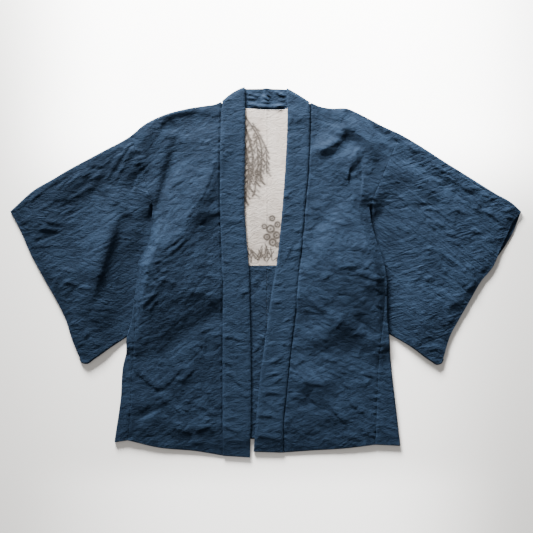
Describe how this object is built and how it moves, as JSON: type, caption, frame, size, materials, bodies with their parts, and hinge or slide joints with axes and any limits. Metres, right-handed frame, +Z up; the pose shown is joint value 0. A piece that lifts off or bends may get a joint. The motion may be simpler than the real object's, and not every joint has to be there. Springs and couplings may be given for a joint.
{
  "type": "haori jacket",
  "caption": "Open-front haori jacket laid flat with its fronts up: wide rectangular sleeves, side gussets, a long folded collar band, navy crinkled cloth and a pale back lining.",
  "frame": {"origin": "centre of the garment's bounding box in plan, on the flat surface it lies on", "axes": "+X along the sleeves towards the wearer's left cuff, +Y from hem to collar, +Z up from the surface, towards the front of the garment"},
  "size_m": [1.153, 0.8353, 0.0175],
  "materials": {
    "navy_cloth": "slubby crinkled navy weave with a faint sheen",
    "pale_lining": "smooth pale grey-beige lining with a soft brown pattern"
  },
  "bodies": {
    "root": {"body_right": "navy_cloth", "body_left": "navy_cloth", "sleeve_right": "navy_cloth", "sleeve_left": "navy_cloth", "gusset_right": "navy_cloth", "gusset_left": "navy_cloth", "collar": "navy_cloth", "hem_facing_right": "navy_cloth", "hem_facing_left": "navy_cloth", "lining_right": "pale_lining", "lining_left": "pale_lining"}
  },
  "joints": []
}
